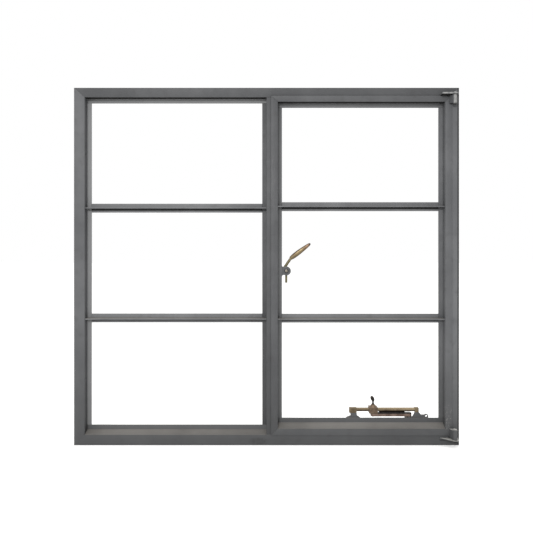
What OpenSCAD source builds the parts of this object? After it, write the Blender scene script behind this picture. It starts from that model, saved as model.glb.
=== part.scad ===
// Two-light steel casement window.
// A fixed light on the left, a side-hung light that opens outwards on the right,
// a cockspur handle and a sliding stay with a thumbscrew.
// X runs along the sill, +Y points into the room, +Z points up.
// The origin is the middle of the sill's lower edge, on the outside face.

/* [Window] */
// Width over the outer frame
window_w = 1022; // [940:1:1250]
// Height over the outer frame
window_h = 949; // [780:1:1200]
// Middle height of the lower glazing bars
bar_low_z = 334; // [250:1:380]
// Middle height of the fixed light's upper glazing bar
bar_high_z = 630; // [560:1:700]
// How much higher the casement's upper glazing bar stands
casement_bar_lift = 4; // [0:0.5:10]

/* [Steel sections] */
// Depth of every rolled section, outside face to room face
section_d = 25; // [22:0.5:32]
// Thickness of the rolled steel
steel_t = 3; // [2:0.1:4]
// Reach of each glazing lip past its web
lip = 11.5; // [8:0.5:14]
// Width of the outside face of the jambs
jamb_face = 28; // [24:0.5:34]
// Width of the outside face of the head
head_face = 25; // [22:0.5:30]
// Height of the outside face of the sill
sill_face = 28; // [24:0.5:34]
// Rise of the sill's weathered slope
sill_rise = 7; // [3:0.5:9]
// Width of the mullion's outside flange
mullion_face = 19; // [15:0.5:24]
// Reach of the mullion's stop behind the casement
mullion_stop = 30; // [26:0.5:36]
// Width of a glazing bar's flange
bar_face = 24; // [16:0.5:30]

/* [Casement] */
// Width of the casement's outside flange on the stiles and the bottom rail
casement_face = 18; // [15:0.5:20]
// Width of the top rail's outside flange
casement_head_face = 16; // [14:0.5:18]
// From the jamb's web to the hinge stile's inner face
casement_side = 9; // [6:0.5:12]
// From the head's web to the top rail's inner face
casement_top = 12.5; // [8:0.5:13.5]
// From the sill's outside face to the bottom rail's inner edge
casement_foot = 17; // [15:0.5:22]
// Rise of the bottom rail's weathered slope
casement_rise = 9.5; // [6:0.5:12]
// Gap between the closed casement and the frame
seat_gap = 0.3; // [0.2:0.1:1]

/* [Hinges] */
// Hinge axis to the right of the jamb's web
hinge_in = 12; // [10:0.5:16]
// Hinge axis in front of the outside face
hinge_out = 15; // [13:0.5:20]
// Radius of a hinge pin
pin_r = 3.5; // [2.5:0.1:4.5]
// Radius of a hinge knuckle
knuckle_r = 6.3; // [5.5:0.1:8]
// Thickness of a hinge plate
plate_t = 4; // [3:0.5:6]
// Radius of a hinge plate's nose
plate_nose_r = 10; // [8:0.5:12]
// Height of the upper knuckle
knuckle_top_h = 23; // [18:0.5:30]
// Height of the lower knuckle
knuckle_low_h = 26; // [18:0.5:30]
// Height of the lower hinge plate's underside
plate_low_z = 16; // [10:0.5:18]

/* [Handle] */
// Height of the handle's pivot
handle_z = 461; // [400:1:520]
// Radius of the lug that carries the handle
lug_r = 12; // [10:0.5:14]
// Thickness of the handle's hub and spur
handle_t = 6; // [4:0.5:8]
// Length of the locking spur from the pivot
spur_len = 32.7; // [28:0.1:38]
// Width of the locking spur
spur_w = 5.6; // [4:0.1:8]
// Radius of the handle's rivet
rivet_r = 3; // [2:0.1:4]

/* [Stay] */
// Radius of the stay's rod
rod_r = 5; // [4:0.1:6]
// Height of the rod's axis above the bottom rail
rod_lift = 20; // [18.5:0.5:26]
// Rod's axis behind the casement's room face
rod_back = 5.8; // [5.5:0.1:8]
// Far end of the rod from the hinge axis
rod_far = 271.5; // [250:0.5:300]
// Near end of the rod from the hinge axis
rod_near = 84.5; // [75:0.5:90]
// Arm's pivot from the hinge axis
arm_pivot = 110; // [104:0.5:116]
// Length of the arm between its two pivots
arm_len = 97; // [80:0.5:110]
// Thickness of the arm
arm_t = 8; // [6:0.5:9]
// Half width of the arm
arm_r = 7; // [6:0.1:7.5]
// Radius of the arm's two pivot pins
arm_pin_r = 3; // [2:0.1:3.5]
// Sideways play of the rod in the slider
slider_play = 3; // [2.8:0.1:4]
// Length of the slider along the rod
slider_len = 22.6; // [18:0.2:26]
// Radius of the thumbscrew's shank
screw_r = 2.5; // [2:0.1:3]

/* [Fixings] */
// Radius of the fixing holes in the jambs
fix_r = 3.25; // [2.5:0.05:4.5]
// Spacing of the fixing holes
fix_pitch = 600; // [400:10:640]

/* [Hidden] */
$fn = 48;

paint = [0.50, 0.51, 0.50];
brass = [0.62, 0.52, 0.36];
dark_bronze = [0.16, 0.13, 0.11];
bare_steel = [0.45, 0.44, 0.42];

// Running clearances
run_fit = 0.05;
side_gap = 0.3;

// Outer frame
half_w = window_w / 2;
back_y = section_d - steel_t;
web_x = half_w - jamb_face;
lip_x = web_x - lip;
head_web_z = window_h - head_face;
head_lip_z = head_web_z - lip;
sill_back_z = sill_face + sill_rise;
sill_lip_z = sill_back_z + lip;
fix_y = section_d / 2;

// Casement when closed
cas_front = -steel_t - seat_gap;
cas_back = cas_front + section_d;
cas_rear = cas_back - steel_t;
cas_x0 = mullion_stop;
cas_x1 = web_x - casement_side;
cas_z0 = sill_face + casement_foot;
cas_z1 = head_web_z - casement_top;
cas_edge_x0 = cas_x0 - casement_face;
cas_edge_x1 = cas_x1 + casement_face;
cas_edge_z0 = cas_z0 - casement_face;
cas_edge_z1 = cas_z1 + casement_head_face;
cas_lip_x0 = cas_x0 + lip;
cas_lip_x1 = cas_x1 - lip;
cas_lip_z0 = cas_z0 + casement_rise + lip;
cas_lip_z1 = cas_z1 - lip;

// Hinges
hinge_x = web_x + hinge_in;
hinge = [hinge_x, -hinge_out];
plate_top_z = cas_edge_z1 + 0.7;
plate_left = 35;
plate_right = 14;
plate_lead_top = hinge_out + plate_nose_r - 2;
plate_lead_low = 1.5;
knuckle_top_z = plate_top_z - side_gap - knuckle_top_h;
knuckle_low_z = plate_low_z + plate_t + side_gap;
pin_head_r = pin_r + 2;
pin_head_h = 2.4;

// Handle, in the plane just clear of the striker
striker_t = 2;
lug_t = 5;
handle_x = cas_lip_x0 + lug_r;
handle_y = section_d + striker_t + 0.5;
boss_r = 9;
lug_fillet_r = 5;
washer_t = 1.2;
rivet_head_h = 2;
neck_start = [-3, 8.5];
neck_end = [13, 33.5];
grip_mid = [35, 51];
grip_tip = [63, 71.5];
grip_back = 2;
neck_flat = 0.8;
grip_flat = 0.6;

// Stay
rod_y = cas_back + rod_back;
rod_z = cas_lip_z0 + rod_lift;
rod_x0 = hinge_x - rod_far;
rod_x1 = hinge_x - rod_near;
rod_end_left_w = 19.5;
rod_end_right_w = 10.5;
rod_end_half = 5.2;
pivot_x = hinge_x - arm_pivot;
slider_x = pivot_x - arm_len;
arm_top_z = rod_z - rod_r - 3.9;
arm_z = arm_top_z - arm_t;
arm_web_h = 2.4;
arm_web_t = 2.5;
lug_plate_t = 5.3;
foot_t = 3;
foot_z0 = sill_lip_z + 1.5;
shelf_t = 4;
shelf_z = cas_lip_z0 - 1 - shelf_t;
bracket_w = 20;
bracket_t = 3;
stay_screw_r = 2;
stay_screw_z = (foot_z0 + cas_lip_z0) / 2;
eye_r = 5.4;
eye_hole_r = 3.1;
eye_x = rod_x1 + 20.5;
eye_z = cas_lip_z0 + 3.6;
block_z0 = arm_top_z + side_gap;
block_z1 = rod_z + rod_r + 2.6;
cone_h = 6.5;
cone_r = 9;
cone_top_r = 4.5;
knob_z = block_z1 + cone_h + 15;
slider_depth = rod_r + slider_play + side_gap + 3;
slider_front = rod_r + slider_play + side_gap + 1.2;
lug_left_top = rod_z - rod_r - 3;
lug_right_top = rod_z - rod_r - 1;
left_neck = [rod_x0 + 3.5, rod_x0 + rod_end_left_w];
left_foot = [left_neck[0] - 12.5, left_neck[1] + 9];
right_foot = [rod_x1 - 19, rod_x1 + 17];
stay_screw_x = [
    left_foot[0] + 6, left_foot[1] - 6, right_foot[0] + 11.5, right_foot[1] - 7
];

// A (y, z) profile run along X
module member_x(x0, x1, profile) {
    translate([x0, 0, 0])
        rotate([90, 0, 90])
            linear_extrude(x1 - x0)
                polygon(profile);
}

// An (x, y) profile run along Z
module member_z(z0, z1, profile) {
    translate([0, 0, z0])
        linear_extrude(z1 - z0)
            polygon(profile);
}

// An (x, z) outline, as thick as stated, from y0 towards the room
module facing(y0, thick, points) {
    translate([0, y0 + thick, 0])
        rotate([90, 0, 0])
            linear_extrude(thick)
                polygon(points);
}

// A cylinder along Y, from y0 towards the room
module rod_along_y(x, y0, z, r, len) {
    translate([x, y0, z])
        rotate([-90, 0, 0])
            cylinder(h = len, r = r);
}

// A flat rivet head with a chamfered edge, standing on z = 0
module rivet_head(r, h) {
    cylinder(h = h / 2, r = r);
    translate([0, 0, h / 2])
        cylinder(h = h / 2, r1 = r, r2 = r * 0.6);
}

// Outer frame: the four members meet on mitres at the corners
sill_outline = [
    [-half_w, 0], [half_w, 0], [web_x, sill_face], [web_x, sill_lip_z],
    [-web_x, sill_lip_z], [-web_x, sill_face]
];
head_outline = [
    [-half_w, window_h], [half_w, window_h], [web_x, head_web_z], [web_x, head_lip_z],
    [-web_x, head_lip_z], [-web_x, head_web_z]
];
jamb_outline = [
    [-half_w, 0], [-half_w, window_h], [-web_x, head_web_z], [-web_x, head_lip_z],
    [-lip_x, head_lip_z], [-lip_x, sill_lip_z], [-web_x, sill_lip_z], [-web_x, sill_face]
];

module frame_head() {
    color(paint)
        intersection() {
            member_x(-half_w, half_w, [
                [0, head_web_z], [0, window_h], [steel_t, window_h],
                [steel_t, head_web_z + steel_t], [section_d, head_web_z + steel_t],
                [section_d, head_lip_z], [back_y, head_lip_z], [back_y, head_web_z]
            ]);
            facing(-1, section_d + 2, head_outline);
        }
}

module frame_sill() {
    color(paint)
        intersection() {
            member_x(-half_w, half_w, [
                [0, 0], [0, sill_face], [steel_t, sill_face], [back_y, sill_back_z],
                [back_y, sill_lip_z], [section_d, sill_lip_z],
                [section_d, sill_back_z - steel_t], [steel_t, sill_face - steel_t], [steel_t, 0]
            ]);
            facing(-1, section_d + 2, sill_outline);
        }
}

// The left jamb; the right one is its mirror image
module jamb() {
    difference() {
        intersection() {
            member_z(0, window_h, [
                [-half_w, 0], [-half_w, steel_t], [-web_x - steel_t, steel_t],
                [-web_x - steel_t, section_d], [-lip_x, section_d], [-lip_x, back_y],
                [-web_x, back_y], [-web_x, 0]
            ]);
            facing(-1, section_d + 2, jamb_outline);
        }
        for (side = [-1, 1])
            translate([-web_x - steel_t - 1, fix_y, (window_h + side * fix_pitch) / 2])
                rotate([0, 90, 0])
                    cylinder(h = steel_t + 2, r = fix_r);
    }
}

module frame_jamb_left() {
    color(paint) jamb();
}

module frame_jamb_right() {
    color(paint) mirror([1, 0, 0]) jamb();
}

// The mullion is scribed to the sill's slope and butts under the head
module mullion() {
    color(paint)
        intersection() {
            member_z(0, window_h, [
                [0, 0], [mullion_face, 0], [mullion_face, steel_t], [steel_t, steel_t],
                [steel_t, back_y], [mullion_stop, back_y], [mullion_stop, section_d],
                [-lip, section_d], [-lip, back_y], [0, back_y]
            ]);
            member_x(-lip - 1, mullion_stop + 1, [
                [0, sill_face], [steel_t, sill_face], [back_y, sill_back_z], [back_y, sill_lip_z],
                [section_d, sill_lip_z], [section_d, head_lip_z], [back_y, head_lip_z],
                [back_y, head_web_z], [0, head_web_z]
            ]);
        }
}

// A T-shaped glazing bar: the stem runs from web to web and the flange from lip to lip
module glazing_bar(x0, x1, stem_y, flange_y, z) {
    translate([x0, stem_y, z - steel_t / 2])
        cube([x1 - x0, flange_y - stem_y, steel_t]);
    translate([x0 + lip, flange_y, z - bar_face / 2])
        cube([x1 - x0 - 2 * lip, steel_t, bar_face]);
}

module fixed_bar_lower() {
    color(paint) glazing_bar(-web_x, 0, steel_t, back_y, bar_low_z);
}

module fixed_bar_upper() {
    color(paint) glazing_bar(-web_x, 0, steel_t, back_y, bar_high_z);
}

// Point where a line from a touches the circle of radius r round c
function tangent(a, c, r, side) =
    let (d = norm(c - a), w = atan2(c.y - a.y, c.x - a.x) + side * asin(r / d))
    a + sqrt(d * d - r * r) * [cos(w), sin(w)];

// A hinge plate welded to the outside face, bored for its pin; lead is its left corner's reach
module hinge_plate(z, lead) {
    left = [hinge_x - plate_left, 0];
    corner = left - [0, lead];
    right = [hinge_x + plate_right, 0];
    difference() {
        union() {
            member_z(z, z + plate_t, [
                left, corner, tangent(corner, hinge, plate_nose_r, -1), hinge,
                tangent(right, hinge, plate_nose_r, 1), right
            ]);
            translate([hinge.x, hinge.y, z])
                cylinder(h = plate_t, r = plate_nose_r);
        }
        translate([hinge.x, hinge.y, z - 1])
            cylinder(h = plate_t + 2, r = pin_r);
    }
}

module hinge_plate_top() {
    color(paint) hinge_plate(plate_top_z, plate_lead_top);
}

module hinge_plate_bottom() {
    color(paint) hinge_plate(plate_low_z, plate_lead_low);
}

// A hinge pin from z0 to z1, riveted over at both ends
module hinge_pin(z0, z1) {
    translate([hinge.x, hinge.y, z0])
        cylinder(h = z1 - z0, r = pin_r);
    translate([hinge.x, hinge.y, z1])
        rivet_head(pin_head_r, pin_head_h);
    translate([hinge.x, hinge.y, z0])
        mirror([0, 0, 1])
            rivet_head(pin_head_r, pin_head_h);
}

module hinge_pin_top() {
    color(bare_steel) hinge_pin(knuckle_top_z - side_gap, plate_top_z + plate_t);
}

module hinge_pin_bottom() {
    color(bare_steel) hinge_pin(plate_low_z, knuckle_low_z + knuckle_low_h + side_gap);
}

// A knuckle and the short leaf that joins it to the hinge stile
module hinge_knuckle(z, h) {
    leaf_left = [cas_edge_x1 - 9, cas_front];
    leaf_right = [cas_edge_x1 - 1, cas_front];
    difference() {
        union() {
            translate([hinge.x, hinge.y, z])
                cylinder(h = h, r = knuckle_r);
            member_z(z + 1, z + h - 1, [
                leaf_left, tangent(leaf_left, hinge, knuckle_r, -1), hinge,
                tangent(leaf_right, hinge, knuckle_r, 1), leaf_right
            ]);
        }
        translate([hinge.x, hinge.y, z - 1])
            cylinder(h = h + 2, r = pin_r + run_fit);
    }
}

module hinge_knuckle_top() {
    color(paint) hinge_knuckle(knuckle_top_z, knuckle_top_h);
}

module hinge_knuckle_bottom() {
    color(paint) hinge_knuckle(knuckle_low_z, knuckle_low_h);
}

// Wear plate that the spur turns onto, on the mullion's room face
module striker_plate() {
    w = mullion_stop - steel_t - 4;
    color(brass)
        translate([mullion_stop - 1 - w, section_d, handle_z - 12])
            cube([w, striker_t, 24]);
}

// Bracket on the sill's lip that carries the arm, with a boss under the arm
module stay_bracket() {
    color(paint)
        difference() {
            union() {
                translate([pivot_x - bracket_w / 2, section_d, sill_back_z])
                    cube([bracket_w, bracket_t, shelf_z + shelf_t - sill_back_z]);
                translate([pivot_x - bracket_w / 2, section_d, shelf_z])
                    cube([bracket_w, rod_y - section_d + 8, shelf_t]);
                translate([pivot_x, rod_y, shelf_z])
                    cylinder(h = arm_z - side_gap - shelf_z, r = arm_pin_r + 2.2);
            }
            translate([pivot_x, rod_y, shelf_z - 1])
                cylinder(h = arm_z - shelf_z + 2, r = arm_pin_r);
        }
}

module stay_pivot_pin() {
    head_h = 1.6;
    color(bare_steel)
        translate([pivot_x, rod_y, 0]) {
            translate([0, 0, shelf_z])
                cylinder(h = arm_top_z + side_gap - shelf_z, r = arm_pin_r);
            translate([0, 0, arm_top_z + side_gap])
                rivet_head(arm_pin_r + 1.8, head_h);
        }
}

// Casement: the four members meet on mitres, as in the outer frame
cas_bottom_outline = [
    [cas_edge_x0, cas_edge_z0], [cas_edge_x1, cas_edge_z0], [cas_x1, cas_z0],
    [cas_x1, cas_lip_z0], [cas_x0, cas_lip_z0], [cas_x0, cas_z0]
];
cas_top_outline = [
    [cas_edge_x0, cas_edge_z1], [cas_edge_x1, cas_edge_z1], [cas_x1, cas_z1],
    [cas_x1, cas_lip_z1], [cas_x0, cas_lip_z1], [cas_x0, cas_z1]
];

module casement_top_rail() {
    color(paint)
        intersection() {
            member_x(cas_edge_x0, cas_edge_x1, [
                [cas_front, cas_z1], [cas_front, cas_edge_z1], [-seat_gap, cas_edge_z1],
                [-seat_gap, cas_z1 + steel_t], [cas_back, cas_z1 + steel_t],
                [cas_back, cas_lip_z1], [cas_rear, cas_lip_z1], [cas_rear, cas_z1]
            ]);
            facing(cas_front - 1, section_d + 2, cas_top_outline);
        }
}

module casement_bottom_rail() {
    color(paint)
        difference() {
            intersection() {
                member_x(cas_edge_x0, cas_edge_x1, [
                    [cas_front, cas_edge_z0], [cas_front, cas_z0], [-seat_gap, cas_z0],
                    [cas_rear, cas_z0 + casement_rise], [cas_rear, cas_lip_z0],
                    [cas_back, cas_lip_z0], [cas_back, cas_z0 - steel_t],
                    [-seat_gap, cas_z0 - steel_t], [-seat_gap, cas_edge_z0]
                ]);
                facing(cas_front - 1, section_d + 2, cas_bottom_outline);
            }
            for (x = stay_screw_x)
                rod_along_y(x, cas_back - 2.2, stay_screw_z, stay_screw_r, 4);
        }
}

// A stile: dir is 1 on the lock side and -1 on the hinge side
module stile(x_in, x_edge, dir) {
    x_lip = x_in + dir * lip;
    x_web = x_in - dir * steel_t;
    intersection() {
        member_z(cas_edge_z0, cas_edge_z1, [
            [x_edge, cas_front], [x_in, cas_front], [x_in, cas_rear], [x_lip, cas_rear],
            [x_lip, cas_back], [x_web, cas_back], [x_web, -seat_gap], [x_edge, -seat_gap]
        ]);
        facing(cas_front - 1, section_d + 2, [
            [x_edge, cas_edge_z0], [x_edge, cas_edge_z1], [x_in, cas_z1], [x_in, cas_lip_z1],
            [x_lip, cas_lip_z1], [x_lip, cas_lip_z0], [x_in, cas_lip_z0], [x_in, cas_z0]
        ]);
    }
}

module casement_lock_stile() {
    color(paint) stile(cas_x0, cas_edge_x0, 1);
}

module casement_hinge_stile() {
    color(paint) stile(cas_x1, cas_edge_x1, -1);
}

module casement_bar_lower() {
    color(paint) glazing_bar(cas_x0, cas_x1, -seat_gap, cas_rear, bar_low_z);
}

module casement_bar_upper() {
    color(paint)
        glazing_bar(cas_x0, cas_x1, -seat_gap, cas_rear, bar_high_z + casement_bar_lift);
}

// The ear on the lock stile that carries the handle, flared where it is welded on
module handle_lug() {
    rise = sqrt(pow(lug_r + lug_fillet_r, 2) - pow(lug_r - lug_fillet_r, 2));
    flare_x = cas_lip_x0 + lug_fillet_r;
    color(paint)
        difference() {
            union() {
                rod_along_y(handle_x, cas_rear, handle_z, lug_r, lug_t);
                rod_along_y(handle_x, cas_rear, handle_z, boss_r, handle_y - side_gap - cas_rear);
                facing(cas_rear, lug_t, [
                    [cas_lip_x0, handle_z - rise], [flare_x, handle_z - rise],
                    [handle_x, handle_z], [flare_x, handle_z + rise],
                    [cas_lip_x0, handle_z + rise]
                ]);
            }
            for (side = [-1, 1])
                rod_along_y(flare_x, cas_rear - 1, handle_z + side * rise,
                            lug_fillet_r, lug_t + 2);
            rod_along_y(handle_x, cas_rear - 1, handle_z, rivet_r, handle_y);
        }
}

module handle_rivet() {
    room_y = handle_y + handle_t + washer_t + 2 * side_gap;
    color(brass) {
        rod_along_y(handle_x, cas_rear, handle_z, rivet_r, room_y - cas_rear);
        translate([handle_x, room_y, handle_z])
            rotate([-90, 0, 0])
                rivet_head(rivet_r + 2, rivet_head_h);
        translate([handle_x, cas_rear, handle_z])
            rotate([90, 0, 0])
                rivet_head(rivet_r + 1.2, rivet_head_h / 2);
    }
}

module handle_washer() {
    color(brass)
        difference() {
            rod_along_y(handle_x, handle_y + handle_t + side_gap, handle_z, rivet_r + 4, washer_t);
            rod_along_y(handle_x, handle_y, handle_z, rivet_r + run_fit, 2 * handle_t);
        }
}

// A ball flattened along Y, in the handle's own plane
module handle_ball(place, y, r, flat) {
    translate([place.x, y, place.y])
        scale([1, flat, 1])
            sphere(r = r, $fn = 28);
}

// Cockspur handle: hub, locking spur, cranked neck and leaf-shaped grip
module handle_lever() {
    mid_y = handle_y + handle_t / 2;
    grip_y = mid_y + grip_back;
    spur_r = spur_w / 2;
    color(brass)
        difference() {
            union() {
                rod_along_y(handle_x, handle_y, handle_z, lug_r - 1.5, handle_t);
                translate([handle_x - spur_r, handle_y, handle_z - spur_len + spur_r])
                    cube([spur_w, handle_t, spur_len - spur_r]);
                rod_along_y(handle_x, handle_y, handle_z - spur_len + spur_r, spur_r, handle_t);
                translate([handle_x, 0, handle_z]) {
                    hull() {
                        handle_ball(neck_start, mid_y, 3.6, neck_flat);
                        handle_ball(neck_end, grip_y, 3.9, neck_flat);
                    }
                    hull() {
                        handle_ball(neck_end, grip_y, 3.9, neck_flat);
                        handle_ball(grip_mid, grip_y, 6.2, grip_flat);
                    }
                    hull() {
                        handle_ball(grip_mid, grip_y, 6.2, grip_flat);
                        handle_ball(grip_tip, grip_y, 3.4, grip_flat);
                    }
                }
            }
            rod_along_y(handle_x, handle_y - 1, handle_z, rivet_r + run_fit, handle_t + 2);
        }
}

// Rod of the stay, with a square foot at each end that sits on its lug
module stay_rod() {
    color(brass) {
        translate([rod_x0 + 1, rod_y, rod_z])
            rotate([0, 90, 0])
                cylinder(h = rod_x1 - rod_x0 - 2, r = rod_r);
        translate([rod_x0, rod_y - rod_end_half, lug_left_top])
            cube([rod_end_left_w, 2 * rod_end_half, rod_z + rod_end_half - lug_left_top]);
        translate([rod_x1 - rod_end_right_w, rod_y - rod_end_half, lug_right_top])
            cube([rod_end_right_w, 2 * rod_end_half, rod_z + rod_end_half - lug_right_top]);
    }
}

// A lug's foot plate, screwed to the room face of the bottom rail
module lug_foot(x0, x1) {
    translate([x0, cas_back, foot_z0])
        cube([x1 - x0, foot_t, cas_lip_z0 - foot_z0]);
}

module stay_lug_left() {
    flare = 5;
    color(paint)
        difference() {
            union() {
                lug_foot(left_foot[0], left_foot[1]);
                facing(cas_back, lug_plate_t, [
                    [left_foot[0], cas_lip_z0], [left_foot[1], cas_lip_z0],
                    [left_neck[1] + 1, cas_lip_z0 + flare], [left_neck[1], lug_left_top],
                    [left_neck[0] - 1, lug_left_top], [left_neck[0], cas_lip_z0 + flare]
                ]);
            }
            for (x = stay_screw_x)
                rod_along_y(x, cas_back - 1, stay_screw_z, stay_screw_r, foot_t + 2);
        }
}

module stay_lug_right() {
    x_top = rod_x1 - rod_end_right_w;
    wing_top = cas_lip_z0 + 7;
    color(paint)
        difference() {
            union() {
                lug_foot(right_foot[0], right_foot[1]);
                facing(cas_back, lug_plate_t, [
                    [right_foot[0] + 1, cas_lip_z0], [x_top - 2.5, cas_lip_z0 + 8],
                    [x_top, lug_right_top], [rod_x1, lug_right_top],
                    [rod_x1 + 6.5, wing_top], [eye_x, wing_top],
                    [eye_x, cas_lip_z0]
                ]);
                rod_along_y(eye_x, cas_back, eye_z, eye_r, lug_plate_t);
            }
            rod_along_y(eye_x, cas_back - 1, eye_z, eye_hole_r, lug_plate_t + 2);
            for (x = stay_screw_x)
                rod_along_y(x, cas_back - 1, stay_screw_z, stay_screw_r, foot_t + 2);
        }
}

// Four round-head screws, put in from the room side
module stay_screws() {
    color(bare_steel)
        for (x = stay_screw_x) {
            rod_along_y(x, cas_back - 2, stay_screw_z, stay_screw_r, foot_t + 2);
            translate([x, cas_back + foot_t, stay_screw_z])
                rotate([-90, 0, 0])
                    rivet_head(stay_screw_r + 1.6, 2);
        }
}

// Flat arm with round ends, bored for its two pivots, with a low web along its room side
module stay_arm() {
    web_start = norm([slider_len / 2, slider_depth]) + 1;
    color(brass)
        difference() {
            union() {
                translate([slider_x, rod_y - arm_r, arm_z])
                    cube([arm_len, 2 * arm_r, arm_t]);
                for (x = [slider_x, pivot_x])
                    translate([x, rod_y, arm_z])
                        cylinder(h = arm_t, r = arm_r);
                translate([slider_x + web_start, rod_y + arm_r - arm_web_t, arm_z])
                    cube([arm_len - web_start - arm_r - 3, arm_web_t, arm_t + arm_web_h]);
            }
            for (x = [slider_x, pivot_x])
                translate([x, rod_y, arm_z - 1])
                    cylinder(h = arm_t + 2, r = arm_pin_r + run_fit);
        }
}

// Slider: a block with a slot for the rod and a coned neck for the thumbscrew
module slider_block() {
    slot_r = rod_r + side_gap;
    slot_half = slider_play;
    color(brass)
        difference() {
            union() {
                translate([slider_x - slider_len / 2, rod_y - slider_front, block_z0])
                    cube([slider_len, slider_front + slider_depth, block_z1 - block_z0]);
                translate([slider_x, rod_y, block_z1])
                    cylinder(h = cone_h, r1 = cone_r, r2 = cone_top_r);
            }
            for (side = [-1, 1])
                translate([slider_x - slider_len, rod_y + side * slot_half, rod_z])
                    rotate([0, 90, 0])
                        cylinder(h = 2 * slider_len, r = slot_r);
            translate([slider_x - slider_len, rod_y - slot_half, rod_z - slot_r])
                cube([2 * slider_len, 2 * slot_half, 2 * slot_r]);
            translate([slider_x, rod_y, rod_z])
                cylinder(h = block_z1 + cone_h, r = screw_r + run_fit);
            translate([slider_x, rod_y, block_z0 - 1])
                cylinder(h = 3, r = arm_pin_r);
        }
}

module slider_rivet() {
    head_h = 1.4;
    color(bare_steel)
        translate([slider_x, rod_y, 0]) {
            translate([0, 0, arm_z - side_gap])
                cylinder(h = block_z0 + 2 - arm_z + side_gap, r = arm_pin_r);
            translate([0, 0, arm_z - side_gap])
                mirror([0, 0, 1])
                    rivet_head(arm_pin_r + 1.8, head_h);
        }
}

// Thumbscrew with a leaning oval thumb piece
module thumbscrew() {
    shank_z = rod_z + rod_r + 0.8;
    collar_z = block_z1 + cone_h + side_gap;
    color(dark_bronze)
        translate([slider_x, rod_y, 0]) {
            translate([0, 0, shank_z])
                cylinder(h = knob_z - shank_z, r = screw_r);
            translate([0, 0, collar_z])
                cylinder(h = 1.6, r = screw_r + 1.2);
            translate([-1.5, 0, knob_z])
                rotate([0, -25, 0])
                    scale([0.6, 0.42, 1])
                        sphere(r = 8.2, $fn = 32);
        }
}

frame_head();
frame_sill();
frame_jamb_left();
frame_jamb_right();
mullion();
fixed_bar_lower();
fixed_bar_upper();
hinge_plate_top();
hinge_plate_bottom();
hinge_pin_top();
hinge_pin_bottom();
striker_plate();
stay_bracket();
stay_pivot_pin();
casement_top_rail();
casement_bottom_rail();
casement_lock_stile();
casement_hinge_stile();
casement_bar_lower();
casement_bar_upper();
hinge_knuckle_top();
hinge_knuckle_bottom();
handle_lug();
handle_rivet();
stay_rod();
stay_lug_left();
stay_lug_right();
stay_screws();
handle_lever();
handle_washer();
stay_arm();
slider_block();
slider_rivet();
thumbscrew();
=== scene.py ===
import math

import bpy
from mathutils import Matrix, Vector


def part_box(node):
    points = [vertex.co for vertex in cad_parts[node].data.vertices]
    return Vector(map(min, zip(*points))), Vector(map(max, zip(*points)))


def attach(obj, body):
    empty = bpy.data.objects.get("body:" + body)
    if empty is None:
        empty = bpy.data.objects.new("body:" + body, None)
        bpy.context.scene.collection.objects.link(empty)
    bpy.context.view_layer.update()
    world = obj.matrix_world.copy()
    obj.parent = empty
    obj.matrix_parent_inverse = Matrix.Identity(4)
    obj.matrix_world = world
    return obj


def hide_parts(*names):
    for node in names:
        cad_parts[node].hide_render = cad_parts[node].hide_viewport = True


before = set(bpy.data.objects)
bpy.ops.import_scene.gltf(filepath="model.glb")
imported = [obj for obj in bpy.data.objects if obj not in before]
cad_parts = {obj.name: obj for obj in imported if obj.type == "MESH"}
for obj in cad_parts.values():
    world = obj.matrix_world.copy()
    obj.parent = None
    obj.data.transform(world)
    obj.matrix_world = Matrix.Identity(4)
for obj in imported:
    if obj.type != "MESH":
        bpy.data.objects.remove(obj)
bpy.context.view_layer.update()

# ---------------------------------------------------------------------------
# Camera
# A level camera square to the outside face, a little above the window's middle.
# The frame is centred by a small vertical shift, so the uprights stay upright.
outer_low, outer_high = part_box("frame_head")
window_width = outer_high.x - outer_low.x
window_top = outer_high.z
camera_distance = 1.458
camera_height = 0.585
view_width = 1.415
camera_data = bpy.data.cameras.new("outside_view")
camera_data.sensor_width = 36.0
camera_data.lens = camera_data.sensor_width * camera_distance / view_width
camera_data.shift_y = (window_top / 2 - camera_height) / view_width
camera = bpy.data.objects.new("outside_view", camera_data)
camera.location = (0.0, -camera_distance, camera_height)
camera.rotation_euler = (math.radians(90), 0, 0)
bpy.context.scene.collection.objects.link(camera)
bpy.context.scene.camera = camera

# ---------------------------------------------------------------------------
# Outer frame
# A head, a sill and two jambs of hot-rolled Z-section steel, welded on mitres,
# and a mullion that butts under the head. One coat of grey primer is brushed on,
# with painted shade in the rebates, and the ledges that face up painted paler,
# partly dust and partly painted light.
primer_dark = (0.05016, 0.0513, 0.05396)
primer_light = (0.07144, 0.07258, 0.07524)
primer_blotch = (0.038, 0.03724, 0.03724)
brush_streak = (0.095, 0.09652, 0.0988)
scuffed_primer = (0.1444, 0.1421, 0.1368)
bottom_darkening = (0.033, 0.0334, 0.0338)
flange_painted_light = (0.171, 0.1725, 0.1748)
ledge_dust_and_light_dark = (0.108, 0.102, 0.094)
ledge_dust_and_light_pale = (0.152, 0.144, 0.133)
painted_rebate_shade = (0.004, 0.0038, 0.0036)
near_black = (0.006, 0.006, 0.006)
painted_edge_shade = (0.008, 0.008, 0.008)
smudge_grey = (0.014, 0.014, 0.014)
rebate_start = 0.0012
back_flange = 0.0028
rolled_edge = 0.0006


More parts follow.
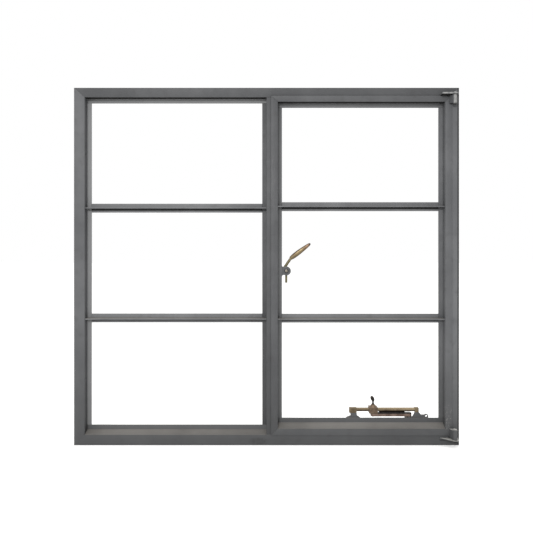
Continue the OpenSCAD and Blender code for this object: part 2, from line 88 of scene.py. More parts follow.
class Value:
    """A number in a material: the usual operators add its Math nodes."""

    def __init__(self, finish, socket):
        self.finish = finish
        self.socket = socket

    def math(self, operation, *others):
        node = self.finish.add("ShaderNodeMath", {"operation": operation}, {})
        for place, other in enumerate((self,) + others):
            self.finish.feed(node.inputs[place], other)
        return Value(self.finish, node.outputs[0])

    def __add__(self, other):
        return self.math("ADD", other)

    def __radd__(self, other):
        return self.math("ADD", other)

    def __sub__(self, other):
        return self.math("SUBTRACT", other)

    def __rsub__(self, other):
        return (self * -1.0) + other

    def __mul__(self, other):
        return self.math("MULTIPLY", other)

    def __rmul__(self, other):
        return self.math("MULTIPLY", other)

    def __abs__(self):
        return self.math("ABSOLUTE")

    def ramp(self, low, high):
        """0 at low, 1 at high, smooth between."""
        node = self.finish.add("ShaderNodeMapRange", {"interpolation_type": "SMOOTHSTEP"}, {
            "Value": self, "From Min": low, "From Max": high, "To Min": 0.0, "To Max": 1.0})
        return Value(self.finish, node.outputs[0])


class Finish:
    """One material, with a Principled shader, built from expressions."""

    def __init__(self, name):
        self.material = bpy.data.materials.new(name)
        self.material.use_nodes = True
        self.tree = self.material.node_tree
        self.shader = self.tree.nodes["Principled BSDF"]
        self.place = self.add("ShaderNodeTexCoord", {}, {}).outputs["Object"]
        geometry = self.add("ShaderNodeNewGeometry", {}, {})
        parts = self.add("ShaderNodeSeparateXYZ", {}, {"Vector": geometry.outputs["Normal"]})
        self.facing = [Value(self, parts.outputs[axis]) for axis in "XYZ"]
        spots = self.add("ShaderNodeSeparateXYZ", {}, {"Vector": self.place})
        self.at = [Value(self, spots.outputs[axis]) for axis in "XYZ"]

    def feed(self, socket, value):
        if isinstance(value, Value):
            value = value.socket
        if isinstance(value, bpy.types.NodeSocket):
            self.tree.links.new(value, socket)
        else:
            socket.default_value = value

    def add(self, kind, settings, sockets):
        node = self.tree.nodes.new(kind)
        for key, value in settings.items():
            setattr(node, key, value)
        for key, value in sockets.items():
            self.feed(node.inputs[key], value)
        return node

    def noise(self, scale, detail=4.0, rough=0.55, stretch=(1, 1, 1)):
        """Cloudy noise from 0 to 1; scale is in blotches per metre."""
        mapped = self.add("ShaderNodeMapping", {}, {"Vector": self.place, "Scale": stretch})
        node = self.add("ShaderNodeTexNoise", {}, {
            "Vector": mapped.outputs[0], "Scale": scale, "Detail": detail, "Roughness": rough})
        return Value(self, node.outputs[0])

    def blend(self, factor, first, second):
        node = self.add("ShaderNodeMix", {"data_type": "RGBA"}, {})
        self.feed(node.inputs[0], factor)
        for socket, colour in ((node.inputs[6], first), (node.inputs[7], second)):
            if not isinstance(colour, bpy.types.NodeSocket):
                colour = (*colour, 1.0)
            self.feed(socket, colour)
        return node.outputs[2]

    def spot(self, x, z, wide, high):
        """A soft round patch on the face, 1 at its middle and 0 at its rim."""
        across = (self.at[0] - x) * (1.0 / wide)
        upward = (self.at[2] - z) * (1.0 / high)
        return 1.0 - (across * across + upward * upward).ramp(0.15, 1.0)

    def bump(self, height, strength, distance):
        node = self.add("ShaderNodeBump", {}, {
            "Height": height, "Strength": strength, "Distance": distance})
        self.feed(self.shader.inputs["Normal"], node.outputs[0])

    def finish(self, colour, rough, metal=0.0, **fixed):
        self.feed(self.shader.inputs["Base Color"], colour)
        self.feed(self.shader.inputs["Roughness"], rough)
        self.shader.inputs["Metallic"].default_value = metal
        for key, value in fixed.items():
            self.shader.inputs[key.replace("_", " ").title()].default_value = value
        return self.material


def primer_paint(name, rebate_front, rebate_back, flange_light=1.0, face=1.0, stems=(), marks=None):
    """Grey primer, darker towards the bottom. The rebate runs from rebate_front to
    rebate_back in Y; its sides and undersides are painted in shade, and the level
    given after them paints the flange behind it lighter, as painted light. Faces
    that point up are painted paler, partly dust and partly painted light. face
    scales the whole coat. A painted shadow lies on the flange under each stem,
    whose underside is listed. A maker of marks may lay its own colours over the
    paint."""
    paint = Finish(name)
    cloud = paint.noise(7.0, 5.0)
    blotch = paint.noise(38.0, 6.0, 0.6)
    brush_up = paint.noise(60.0, 5.0, 0.6, (14, 14, 0.8))
    brush_along = paint.noise(60.0, 5.0, 0.6, (0.8, 14, 14))
    grain = paint.noise(1400.0, 2.0)
    scuffs = paint.noise(75.0, 8.0, 0.72, (1.0, 1.0, 0.35)).ramp(0.67, 0.74)
    dark = tuple(face * level for level in primer_dark)
    light = tuple(face * level for level in primer_light)
    colour = paint.blend(cloud.ramp(0.3, 0.7), dark, light)
    colour = paint.blend(blotch.ramp(0.52, 0.72) * 0.35, colour, primer_blotch)
    streaks = brush_up.ramp(0.56, 0.7) * 0.2 + brush_along.ramp(0.56, 0.7) * 0.2
    colour = paint.blend(streaks, colour, brush_streak)
    colour = paint.blend(scuffs * 0.3, colour, scuffed_primer)
    # Darker towards the bottom.
    low_down = 1.0 - paint.at[2].ramp(0.0, 0.30)
    colour = paint.blend(low_down * 0.6, colour, bottom_darkening)
    # Painted light: the flange behind the rebate, facing out, is painted lighter.
    behind = paint.at[1].ramp(rebate_back - 0.0012, rebate_back - 0.0002)
    flange_lit = behind * (0.0 - paint.facing[1]).ramp(0.5, 0.9)
    colour = paint.blend(flange_lit * min(0.85, flange_light * 0.45 - 0.3), colour, flange_painted_light)
    # Faces that point up are painted paler, partly dust and partly painted light from above.
    up = paint.facing[2].ramp(0.35, 0.9)
    dust_and_light = paint.blend(cloud.ramp(0.3, 0.7), ledge_dust_and_light_dark, ledge_dust_and_light_pale)
    colour = paint.blend(up * 0.8, colour, dust_and_light)
    # Painted shade on the sides and undersides inside the rebate, and a painted shadow on the flange under
    # each stem.
    edge_on = 1.0 - abs(paint.facing[1]).ramp(0.3, 0.8)
    inside = paint.at[1].ramp(rebate_front, rebate_front + 0.0015)
    inside = inside * (1.0 - paint.at[1].ramp(rebate_back - 0.0005, rebate_back + 0.0005))
    down = (0.0 - paint.facing[2]).ramp(0.3, 0.8)
    painted_shade = edge_on * inside * (1.0 - up) * (down * 0.88 + 0.1)
    for stem in stems:
        under = paint.at[2].ramp(stem - 0.0058, stem - 0.0046)
        under = under * (1.0 - paint.at[2].ramp(stem + 0.0002, stem + 0.0010))
        painted_shade = painted_shade + under * paint.at[1].ramp(rebate_front, rebate_back) * 0.9 * (1.0 - edge_on)
    colour = paint.blend(painted_shade, colour, painted_rebate_shade)
    if marks:
        colour = marks(paint, colour)
    rough = 0.46 + blotch * 0.18 - scuffs * 0.08 + painted_shade * 0.4
    height = grain * 0.25 + brush_up * 0.35 + brush_along * 0.35 + blotch * 0.4
    paint.bump(height, 0.3, 0.0005)
    paint.shader.inputs["Specular IOR Level"].default_value = 0.22
    return paint.finish(colour, rough)


def hinge_and_edge_shade(paint, colour):
    """Painted shadows under both hinge plates, and painted shade along the edge of the right jamb."""
    for plate in ("hinge_plate_top", "hinge_plate_bottom"):
        # Painted shadow, black, under each plate.
        low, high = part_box(plate)
        along = paint.at[0].ramp(low.x - 0.0010, low.x + 0.0020)
        under = paint.at[2].ramp(low.z - 0.0045, low.z - 0.0032)
        under = under * (1.0 - paint.at[2].ramp(low.z, low.z + 0.0010))
        colour = paint.blend(along * under * 0.92, colour, near_black)
    # Painted shade along the outer edge of the right jamb.
    edge = paint.at[0].ramp(window_width / 2 - 0.0046, window_width / 2 - 0.0034)
    return paint.blend(edge * 0.9, colour, painted_edge_shade)


def sill_smudge(paint, colour):
    """The painted hinge shadows and edge shade, and a dark smudge on the sill's face below the mullion."""
    colour = hinge_and_edge_shade(paint, colour)
    cloud = paint.noise(160.0, 4.0)
    smudge = paint.spot(-0.022, 0.011, 0.030, 0.012) * cloud.ramp(0.3, 0.6)
    return paint.blend(smudge * 0.45, colour, smudge_grey)


def clear_selection():
    if bpy.context.object and bpy.context.object.mode != "OBJECT":
        bpy.ops.object.mode_set(mode="OBJECT")
    bpy.ops.object.select_all(action="DESELECT")


def pick(piece):
    clear_selection()
    piece.select_set(True)
    bpy.context.view_layer.objects.active = piece


def wear(piece, body, finish, slot_name, *stands_for):
    piece.data.materials.clear()
    piece.data.materials.append(finish)
    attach(piece, body)
    if stands_for:
        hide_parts(*stands_for)


def rounded(node, edge, segments=2):
    """A copy of a CAD node with its flat faces made whole and its edges rounded.

    The edges round a mitre stay sharp, as the welded corner is ground flush."""
    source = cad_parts[node]
    piece = bpy.data.objects.new(node + "_made", source.data.copy())
    bpy.context.scene.collection.objects.link(piece)
    pick(piece)
    bpy.ops.object.mode_set(mode="EDIT")
    bpy.ops.mesh.select_all(action="SELECT")
    bpy.ops.mesh.remove_doubles(threshold=0.000005)
    bpy.ops.mesh.dissolve_limited(angle_limit=math.radians(0.5))
    bpy.ops.mesh.select_mode(type="EDGE")
    bpy.ops.mesh.select_all(action="DESELECT")
    bpy.ops.mesh.edges_select_sharp(sharpness=math.radians(30))
    bpy.ops.object.mode_set(mode="OBJECT")
    mesh = piece.data
    mitred = set()
    for face in mesh.polygons:
        if abs(face.normal.x) > 0.3 and abs(face.normal.z) > 0.3 and abs(face.normal.y) < 0.05:
            mitred.update(face.edge_keys)
    for line in mesh.edges:
        if line.key in mitred and edge == rolled_edge:
            line.select = False
    bpy.ops.object.mode_set(mode="EDIT")
    bpy.ops.mesh.bevel(offset=edge, segments=segments, affect="EDGES", clamp_overlap=True)
    bpy.ops.object.mode_set(mode="OBJECT")
    bpy.ops.object.shade_smooth_by_angle(angle=math.radians(40))
    return piece


rebate_depth = outer_high.y
frame_rebate = (rebate_start, rebate_depth - back_flange)
# Five copies of one primer, each painted lighter or darker for how the light falls on its member, each with
# the flange behind its rebate painted lighter as painted light.
frame_paint = primer_paint("frame_primer", *frame_rebate, 1.0, 1.0, marks=sill_smudge)
jamb_paint = primer_paint("frame_primer_hinge_side", *frame_rebate, 1.0, 1.40, marks=hinge_and_edge_shade)
mullion_paint = primer_paint("frame_primer_middle", *frame_rebate, 0.7, 0.80)
head_paint = primer_paint("frame_primer_head", *frame_rebate, 1.8, 0.80, marks=hinge_and_edge_shade)
left_jamb_lit_paint = primer_paint("frame_primer_left_lit", *frame_rebate, 2.0, 1.08)
rolled_finish = {"frame_sill": frame_paint, "frame_jamb_right": jamb_paint, "mullion": mullion_paint,
                 "frame_head": head_paint, "frame_jamb_left": left_jamb_lit_paint}
for node, finish in rolled_finish.items():
    wear(rounded(node, rolled_edge), "frame", finish, "frame_paint", node)

# ---------------------------------------------------------------------------
# Glazing bars of the fixed light
# Two rolled T-bars, fitted between the jamb and the mullion with the stem towards
# the weather. A painted shadow lies under each stem, on the flange behind it.
bar_seat = 0.0060        # from the back of the sections to the putty's seat on the bar


def stem_undersides(*bars):
    """Height of the underside of each bar's stem, halfway up the bar."""
    heights = []
    for bar in bars:
        low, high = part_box(bar)
        heights.append((low.z + high.z) / 2 - 0.0015)
    return heights


fixed_stems = stem_undersides("fixed_bar_lower", "fixed_bar_upper")
# Painted shadows on the flange under each stem.
bar_paint = primer_paint("bar_primer", rebate_start, rebate_depth - bar_seat, 1.2, 1.6, fixed_stems)
for node in ("fixed_bar_lower", "fixed_bar_upper"):
    wear(rounded(node, rolled_edge), "frame", bar_paint, "frame_paint", node)

# ---------------------------------------------------------------------------
# Casement rails and stiles
# The opening light is made of the same rolled sections, lapped over the frame
# in front and behind, so that it shuts on two lines all round. The handle side
# is scratched by hands, and specks of paint lie near the foot of the other.
scratch_grey = (0.22, 0.22, 0.22)
speck_grey = (0.20, 0.195, 0.18)


def stile_scratches(paint, colour):
    """Fine upright scratches on the lock stile, where the handle side is pushed."""
    lines = paint.noise(2600.0, 2.0, 0.5, (1.0, 1.0, 0.012)).ramp(0.60, 0.68)
    worn = paint.spot(0.016, 0.715, 0.012, 0.085) + paint.spot(0.021, 0.40, 0.012, 0.12) * 0.5
    return paint.blend(lines * worn * 0.4, colour, scratch_grey)


def paint_drips(paint, colour):
    """Pale specks near the foot of the hinge stile."""
    specks = paint.noise(520.0, 3.0, 0.5, (1.0, 1.0, 0.5)).ramp(0.62, 0.68)
    here = paint.spot(0.480, 0.078, 0.016, 0.045)
    return paint.blend(specks * here * 0.75, colour, speck_grey)


sash_low, sash_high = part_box("casement_top_rail")
sash_rebate = (sash_low.y + rebate_start, sash_high.y - back_flange)
# Two copies of one primer, painted lighter or darker for how the light falls on each pair of members, each
# with the flange behind its rebate painted lighter as painted light.
sash_paint = primer_paint("casement_primer", *sash_rebate, 0.7, 1.15, marks=paint_drips)
sash_lit_copy_paint = primer_paint(
    "casement_primer_lit_copy", *sash_rebate, 1.2, 0.92, marks=stile_scratches)
for node in ("casement_bottom_rail", "casement_hinge_stile"):
    wear(rounded(node, rolled_edge), "casement", sash_paint, "frame_paint", node)
for node in ("casement_top_rail", "casement_lock_stile"):
    wear(rounded(node, rolled_edge), "casement", sash_lit_copy_paint, "frame_paint", node)

# ---------------------------------------------------------------------------
# Glazing bars of the casement
# Two T-bars like those of the fixed light, fitted between the casement's stiles
# and painted with them. The upper one sits slightly higher than its neighbour.
sash_stems = stem_undersides("casement_bar_lower", "casement_bar_upper")
# Painted shadows on the flange under each stem, as on the fixed light.
sash_bar_paint = primer_paint(
    "casement_bar_primer", rebate_start, sash_high.y - bar_seat, 1.2, 1.5, sash_stems)
for node in ("casement_bar_lower", "casement_bar_upper"):
    wear(rounded(node, rolled_edge), "casement", sash_bar_paint, "frame_paint", node)

# ---------------------------------------------------------------------------
# Hinges
# Projecting hinges: a steel plate welded to the frame, a knuckle with a short
# leaf on the casement, and a riveted pin. All of it was painted in place.
low_plate_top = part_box("hinge_plate_bottom")[1].z
painted_front_highlight = (0.26, 0.26, 0.25)
painted_top_highlight = (0.36, 0.355, 0.34)


def hinge_highlight_and_shade(paint, colour):
    """Painted highlights, pale on the tops and on the upper hinge's front, and painted
    shade, black underneath and on the front of the lower plate."""
    front = (0.0 - paint.facing[1]).ramp(0.5, 0.95)
    top = paint.facing[2].ramp(0.3, 0.9)
    below = (0.0 - paint.facing[2]).ramp(0.3, 0.9)
    patches = paint.noise(120.0, 4.0).ramp(0.35, 0.6)
    raised = paint.at[2].ramp(0.4, 0.5)
    # Painted highlight on the upper hinge's front, painted shade on the lower plate's front, painted
    # highlight on the tops and painted shade underneath.
    colour = paint.blend(front * (0.2 + patches * 0.4) * raised, colour, painted_front_highlight)
    lower_plate = 1.0 - paint.at[2].ramp(low_plate_top - 0.0015, low_plate_top)
    colour = paint.blend(front * lower_plate, colour, near_black)
    colour = paint.blend(top * (0.45 + patches * 0.45), colour, painted_top_highlight)
    return paint.blend(below * 0.95, colour, near_black)


# These copies take the whole piece as the rebate, so every side and underside is painted in shade.
fittings_paint = primer_paint("fittings_primer", -0.9, 0.9, 1.0, 1.1)
hinge_paint = primer_paint("hinge_primer", -0.9, 0.9, 1.0, 1.2, marks=hinge_highlight_and_shade)
for node in ("hinge_plate_top", "hinge_plate_bottom", "hinge_pin_top", "hinge_pin_bottom"):
    wear(rounded(node, 0.0005), "frame", hinge_paint, "frame_paint", node)
for node in ("hinge_knuckle_top", "hinge_knuckle_bottom"):
    wear(rounded(node, 0.0007, 3), "casement", hinge_paint, "frame_paint", node)

# ---------------------------------------------------------------------------
# Hinge welds
# A hand-laid arc weld runs along the root of each hinge plate, where it meets
# the face of the frame. Its ripples are left as they were, under the paint.
ripple_count = 13
ripple_inset = 0.003
ripple_size = (0.0029, 0.0020, 0.0021)


def settle(piece):
    """Moves the piece's place into its mesh."""
    pick(piece)
    bpy.ops.object.transform_apply(location=True, rotation=True, scale=True)


def drop(place, size):
    """One ripple of a weld, as a flattened ball."""
    clear_selection()
    bpy.ops.mesh.primitive_uv_sphere_add(segments=14, ring_count=9, location=place)
    bpy.context.object.scale = size
    return bpy.context.object


def welded(name, drops):
    """Joins the ripples to one bead."""
    clear_selection()
    for one in drops:
        one.select_set(True)
    bpy.context.view_layer.objects.active = drops[0]
    bpy.ops.object.join()
    bead = bpy.context.object
    bead.name = name
    settle(bead)
    bpy.ops.object.shade_smooth()
    return bead


for end, side in (("top", 1), ("bottom", -1)):
    low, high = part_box("hinge_plate_" + end)
    seam = high.z if side > 0 else low.z
    ripples = []
    spacing = (high.x - low.x - 2 * ripple_inset) / (ripple_count - 1)
    for step in range(ripple_count):
        place = (low.x + ripple_inset + step * spacing, -0.0002, seam + side * 0.0002)
        swell = 1.0 + 0.16 * math.sin(step * 2.3)
        ripples.append(drop(place, (ripple_size[0], ripple_size[1] * swell, ripple_size[2] * swell)))
    wear(welded("hinge_weld_" + end, ripples), "frame", fittings_paint, "frame_paint")

# ---------------------------------------------------------------------------
# Handle lug
# A flat steel ear, welded to the room face of the lock stile and flared into
# it. A raised boss holds the handle clear of the mullion.
rivet_low, rivet_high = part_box("handle_rivet")
pivot = (rivet_low + rivet_high) / 2
pale_rim = (0.13, 0.13, 0.13)


def rivet_ring(paint, colour):
    """A dark ring round the head of the handle's rivet, and a paler rim beyond it."""
    across = paint.at[0] - pivot.x
    upward = paint.at[2] - pivot.z
    away = (across * across + upward * upward).math("SQRT")
    ring = away.ramp(0.0030, 0.0042) * (1.0 - away.ramp(0.0052, 0.0064))
    rim = away.ramp(0.0090, 0.0105) * (1.0 - away.ramp(0.0112, 0.0120))
    colour = paint.blend(ring * 0.9, colour, near_black)
    return paint.blend(rim * 0.25, colour, pale_rim)


lug_paint = primer_paint("lug_primer", -0.9, 0.9, 1.0, 0.85, marks=rivet_ring)
wear(rounded("handle_lug", 0.0006), "casement", lug_paint, "frame_paint", "handle_lug")

# ---------------------------------------------------------------------------
# Handle
# A cast brass cockspur handle: a bored hub, a straight locking spur that hangs
# down, a thin cranked neck, and a flat leaf-shaped grip polished by the hand.
rosy_brass = (0.21, 0.13, 0.092)
green_brass = (0.085, 0.080, 0.045)
flank_brown = (0.05, 0.032, 0.022)
tip_brown = (0.05, 0.04, 0.03)
hub_radius = 0.0105
hub_bore = 0.00306
hub_thickness = 0.006
spur_width = 0.0072
spur_thickness = 0.0052
spur_start = 0.006
neck_set_out = 0.0005
grip_set_out = 0.0020
# Each ring of the neck and the grip is its height, half its width and half its depth.
neck_rings = ((-0.003, 0.0042, 0.0028), (0.003, 0.0041, 0.0028), (0.015, 0.0037, 0.0027),
              (0.026, 0.0037, 0.0027), (0.0315, 0.0030, 0.0024))
grip_rings = ((-0.0030, 0.0020, 0.0014), (-0.0020, 0.0042, 0.0024), (0.002, 0.0056, 0.0030),
              (0.009, 0.0064, 0.0034), (0.018, 0.0069, 0.0037), (0.028, 0.0068, 0.0037),
              (0.040, 0.0061, 0.0034), (0.052, 0.0051, 0.0029), (0.061, 0.0042, 0.0025),
              (0.0655, 0.0027, 0.0017), (0.0664, 0.0010, 0.0008))


def aged_metal(name, bright, dull, tarnish_and_shade, marks=None):
    """Bare metal, clouded with patina, with a painted highlight on top and painted
    shade underneath. A maker of marks may lay its own colours over it."""
    metal = Finish(name)
    cloud = metal.noise(70.0, 6.0, 0.6)
    spots = metal.noise(420.0, 4.0, 0.6)
    drawn = metal.noise(900.0, 3.0, 0.5, (0.08, 1, 1))
    colour = metal.blend(cloud.ramp(0.35, 0.65), bright, dull)
    colour = metal.blend(spots.ramp(0.54, 0.7) * 0.6, colour, tarnish_and_shade)
    # Painted highlight on faces that point up, painted shade on faces that point down.
    painted_top_light = tuple(min(1.0, level * 2.1) for level in bright)
    colour = metal.blend(metal.facing[2].ramp(0.15, 0.85) * 0.7, colour, painted_top_light)
    colour = metal.blend((0.0 - metal.facing[2]).ramp(0.05, 0.7) * 0.92, colour, tarnish_and_shade)
    if marks:
        colour = marks(metal, colour)
    metal.bump(spots * 0.5 + drawn * 0.5, 0.25, 0.0004)
    return metal.finish(colour, 0.30 + cloud * 0.22 + spots * 0.12, 1.0)


def grip_wear(brass, colour):
    """The grip rosy towards its tip and brown along its upper flank, with the
    neck, the hub and the spur left green and dull."""
    colour = brass.blend(brass.at[0].ramp(pivot.x + 0.0415, pivot.x + 0.0615) * 0.7, colour, rosy_brass)
    unrubbed = 1.0 - brass.at[0].ramp(pivot.x - 0.0015, pivot.x + 0.0245)
    colour = brass.blend(unrubbed * 0.8, colour, green_brass)
    flank = (0.0 - brass.facing[0]).ramp(0.02, 0.35) * (1.0 - unrubbed)
    colour = brass.blend(flank * 0.9, colour, flank_brown)
    return brass.blend(brass.at[0].ramp(pivot.x + 0.058, pivot.x + 0.063) * 0.8, colour, tip_brown)


def apply_all(piece):
    pick(piece)
    for modifier in list(piece.modifiers):
        bpy.ops.object.modifier_apply(modifier=modifier.name)


def joined(name, parts):
    """Joins finished parts to one piece, with its place in the mesh."""
    for part in parts:
        settle(part)
    clear_selection()
    for part in parts:
        part.select_set(True)
    bpy.context.view_layer.objects.active = parts[0]
    bpy.ops.object.join()
    piece = bpy.context.object
    piece.name = name
    bpy.ops.object.shade_smooth_by_angle(angle=math.radians(40))
    return piece


def softened(piece, width, segments=3):
    """Rounds a piece's edges."""
    bevel = piece.modifiers.new("edges", "BEVEL")
    bevel.width = width
    bevel.segments = segments
    bevel.limit_method = "ANGLE"
    bevel.angle_limit = math.radians(35)
    apply_all(piece)
    return piece


def eye_ring(outer, inner, near, far, x, z, sides=48):
    """A bored disc about the Y axis, from near to far."""
    clear_selection()
    bpy.ops.mesh.primitive_circle_add(vertices=sides, radius=outer, fill_type="NOTHING")
    rim = bpy.context.object
    bpy.ops.mesh.primitive_circle_add(vertices=sides, radius=inner, fill_type="NOTHING")
    bore = bpy.context.object
    clear_selection()
    rim.select_set(True)
    bore.select_set(True)
    bpy.context.view_layer.objects.active = rim
    bpy.ops.object.join()
    bpy.ops.object.mode_set(mode="EDIT")
    bpy.ops.mesh.select_all(action="SELECT")
    bpy.ops.mesh.bridge_edge_loops()
    bpy.ops.mesh.select_all(action="SELECT")
    bpy.ops.mesh.extrude_region_move(TRANSFORM_OT_translate={"value": (0, 0, far - near)})
    bpy.ops.mesh.select_all(action="SELECT")
    bpy.ops.mesh.normals_make_consistent(inside=False)
    bpy.ops.object.mode_set(mode="OBJECT")
    rim.rotation_euler = (math.radians(-90), 0, 0)
    rim.location = (x, near, z)
    return rim


def swelling_bar(rings, sides=14):
    """A bar along +Z, grown ring by ring: each ring is (height, half width, half depth)."""
    clear_selection()
    height, wide, deep = rings[0]
    bpy.ops.mesh.primitive_circle_add(vertices=sides, radius=1.0, fill_type="NGON", location=(0, 0, height))
    bar = bpy.context.object
    bar.scale = (wide, deep, 1)
    settle(bar)
    bpy.ops.object.mode_set(mode="EDIT")
    bpy.ops.mesh.select_all(action="SELECT")
    for next_height, next_wide, next_deep in rings[1:]:
        bpy.ops.mesh.extrude_region_move(TRANSFORM_OT_translate={"value": (0, 0, next_height - height)})
        growth = (next_wide / wide, next_deep / deep, 1)
        bpy.ops.transform.resize(value=growth, center_override=(0, 0, next_height))
        height, wide, deep = next_height, next_wide, next_deep
    bpy.ops.mesh.select_all(action="SELECT")
    bpy.ops.mesh.normals_make_consistent(inside=False)
    bpy.ops.object.mode_set(mode="OBJECT")
    return bar


handle_brass = aged_metal(
    "handle_brass", (0.185, 0.145, 0.082), (0.12, 0.092, 0.055), (0.06, 0.04, 0.026), grip_wear)
lever_low, lever_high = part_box("handle_lever")
hub_near = lever_low.y
hub_far = hub_near + hub_thickness
hub_middle = (hub_near + hub_far) / 2
hub = softened(eye_ring(hub_radius, hub_bore, hub_near, hub_far, pivot.x, pivot.z), 0.0007)
spur_length = pivot.z - lever_low.z
clear_selection()
bpy.ops.mesh.primitive_cube_add(size=1.0)
spur = bpy.context.object
spur.scale = (spur_width, spur_thickness, spur_length - spur_start)
spur.location = (pivot.x, hub_middle, pivot.z - (spur_length + spur_start) / 2)
settle(spur)
for face in spur.data.polygons:
    face.select = face.normal.z < -0.9
bpy.ops.object.mode_set(mode="EDIT")
bpy.ops.mesh.select_mode(type="FACE")
bpy.ops.transform.resize(value=(0.82, 0.8, 1))
bpy.ops.object.mode_set(mode="OBJECT")
softened(spur, 0.0014, 4)
neck_from = Vector((-0.0045, 0, 0.0085))
neck_to = Vector((0.0125, 0, 0.0335))
grip_to = Vector((0.063, 0, 0.0715))
neck = swelling_bar(neck_rings)
grip = swelling_bar(grip_rings)
limbs = ((neck, neck_from, neck_to, neck_set_out), (grip, neck_to, grip_to, grip_set_out))
for bar, start, end, set_out in limbs:
    smooth = bar.modifiers.new("cast", "SUBSURF")
    smooth.levels = 2
    apply_all(bar)
    bar.rotation_euler = (0, math.atan2(end.x - start.x, end.z - start.z), 0)
    bar.location = (pivot.x + start.x, hub_middle + set_out, pivot.z + start.z)
lever = joined("handle_lever_cast", [hub, spur, neck, grip])
wear(lever, "handle", handle_brass, "brass", "handle_lever")

# ---------------------------------------------------------------------------
# Handle rivet, washer and striker
# The handle turns on a dull brass rivet through the lug, closed over a thin
# washer on the room side, with a low head on the outside. Its spur turns onto
# a brass wear plate on the mullion.
rivet_brass = aged_metal(
    "rivet_brass", (0.17, 0.155, 0.13), (0.11, 0.10, 0.09), (0.06, 0.05, 0.045))
wear(rounded("handle_rivet", 0.0004, 3), "casement", rivet_brass, "brass", "handle_rivet")
wear(rounded("handle_washer", 0.0003), "casement", handle_brass, "brass", "handle_washer")
wear(rounded("striker_plate", 0.0005), "frame", handle_brass, "brass", "striker_plate")

# ---------------------------------------------------------------------------
# Stay rod and its lugs
# A drawn brass rod with a square foot at each end, held by two steel lugs that
# are screwed to the room face of the casement's bottom rail.
rod_brass = aged_metal("rod_brass", (0.15, 0.118, 0.076), (0.092, 0.070, 0.046), (0.036, 0.025, 0.019))
wear(rounded("stay_rod", 0.0012, 3), "casement", rod_brass, "brass", "stay_rod")
for node in ("stay_lug_left", "stay_lug_right"):
    wear(rounded(node, 0.0007), "casement", fittings_paint, "frame_paint", node)

# ---------------------------------------------------------------------------
# Stay bracket, arm and slider
# The arm is a brass bar pivoted on a steel bracket on the sill. The slider is
# riveted to its free end and runs along the rod.
arm_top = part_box("stay_arm")[1].z
rod_shadow_depth = 0.0032
painted_rod_shadow = (0.012, 0.009, 0.008)


def under_rod_shadow(brass, colour):
    """Painted shadow of the rod, black, on the top of the arm and on its low web."""
    # Painted shadow under the rod.
    rod_shadow = brass.at[2].ramp(arm_top - rod_shadow_depth - 0.0006, arm_top - rod_shadow_depth)
    return brass.blend(rod_shadow * 0.93, colour, painted_rod_shadow)


arm_brass = aged_metal(
    "arm_brass", (0.165, 0.118, 0.096), (0.10, 0.070, 0.058), (0.045, 0.031, 0.026), under_rod_shadow)
wear(rounded("stay_bracket", 0.0006), "frame", fittings_paint, "frame_paint", "stay_bracket")
wear(rounded("stay_arm", 0.0006, 3), "arm", arm_brass, "brass", "stay_arm")
slider_brass = aged_metal("slider_brass", (0.135, 0.098, 0.070), (0.078, 0.056, 0.041), (0.03, 0.021, 0.017))
wear(rounded("slider_block", 0.0009, 3), "slider", slider_brass, "brass", "slider_block")

# ---------------------------------------------------------------------------
# Thumbscrew
# A dark bronze screw with a collar and an oval thumb piece that leans over. It
# is threaded down through the slider and clamps the rod.
dark_bronze = aged_metal("dark_bronze", (0.040, 0.033, 0.030), (0.022, 0.019, 0.018), (0.012, 0.010, 0.010))
wear(rounded("thumbscrew", 0.0003), "thumbscrew", dark_bronze, "dark_bronze", "thumbscrew")

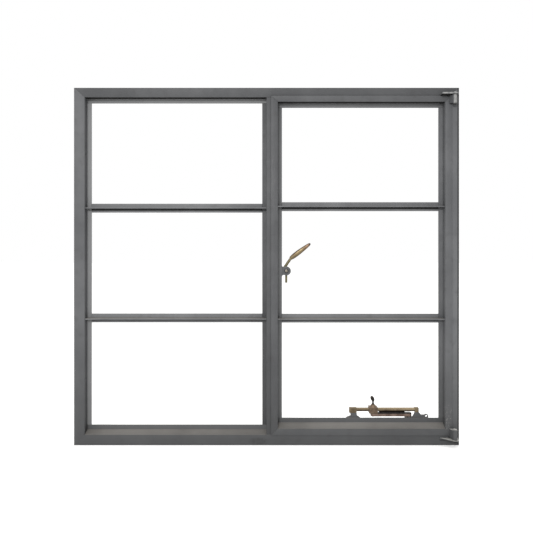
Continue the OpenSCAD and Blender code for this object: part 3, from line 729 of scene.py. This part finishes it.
# ---------------------------------------------------------------------------
# Stay pins and screws
# Plain steel rivets at the two pivots, and round-head screws through the feet
# of the lugs, each with a sawn slot.
dull_steel = aged_metal("dull_steel", (0.24, 0.235, 0.225), (0.16, 0.155, 0.15), (0.09, 0.07, 0.055))
wear(rounded("stay_pivot_pin", 0.0004, 3), "frame", dull_steel, "bare_steel", "stay_pivot_pin")
wear(rounded("slider_rivet", 0.0004, 3), "slider", dull_steel, "bare_steel", "slider_rivet")
screws = rounded("stay_screws", 0.0004, 3)
slot_width = 0.0009
slot_depth = 0.0009
screw_low, screw_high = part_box("stay_screws")
screw_x = (screw_low.x + screw_high.x) / 2
screw_z = (screw_low.z + screw_high.z) / 2
clear_selection()
bpy.ops.mesh.primitive_cube_add(size=1.0, location=(screw_x, screw_high.y, screw_z))
saw = bpy.context.object
saw.scale = (0.4, 2 * slot_depth, slot_width)
settle(saw)
slot_cut = screws.modifiers.new("slot", "BOOLEAN")
slot_cut.operation = "DIFFERENCE"
slot_cut.object = saw
apply_all(screws)
bpy.data.objects.remove(saw)
wear(screws, "casement", dull_steel, "bare_steel", "stay_screws")

# ---------------------------------------------------------------------------
# Floor and studio light
# A plain pale floor, a soft light high in front and a little to the left, a
# broad one above, and a pale room all round.
clear_selection()
bpy.ops.mesh.primitive_plane_add(size=14.0, location=(0, 0, -0.0005))
floor = bpy.context.object
floor.name = "floor"
floor_finish = Finish("pale_floor")
floor.data.materials.append(floor_finish.finish((0.86, 0.86, 0.85, 1.0), 0.8, Emission_Strength=0.25))
floor_finish.shader.inputs["Emission Color"].default_value = (1.0, 1.0, 1.0, 1.0)


def soft_light(name, place, aim, size, power):
    data = bpy.data.lights.new(name, "AREA")
    data.shape = "RECTANGLE"
    data.size, data.size_y = size
    data.energy = power
    lamp = bpy.data.objects.new(name, data)
    lamp.location = place
    lamp.rotation_euler = (Vector(aim) - Vector(place)).to_track_quat("-Z", "Y").to_euler()
    bpy.context.scene.collection.objects.link(lamp)


soft_light("key", (-0.7, -3.1, 1.75), (0.05, 0.0, 0.5), (0.6, 0.4), 86.0)
soft_light("top", (0.2, 0.3, 3.0), (0.0, 0.0, 0.5), (2.2, 1.4), 25.0)
world = bpy.data.worlds.new("pale_room")
world.use_nodes = True
world.node_tree.nodes["Background"].inputs["Color"].default_value = (1.0, 1.0, 1.0, 1.0)
world.node_tree.nodes["Background"].inputs["Strength"].default_value = 1.0
bpy.context.scene.world = world
bpy.context.scene.view_settings.view_transform = "Standard"
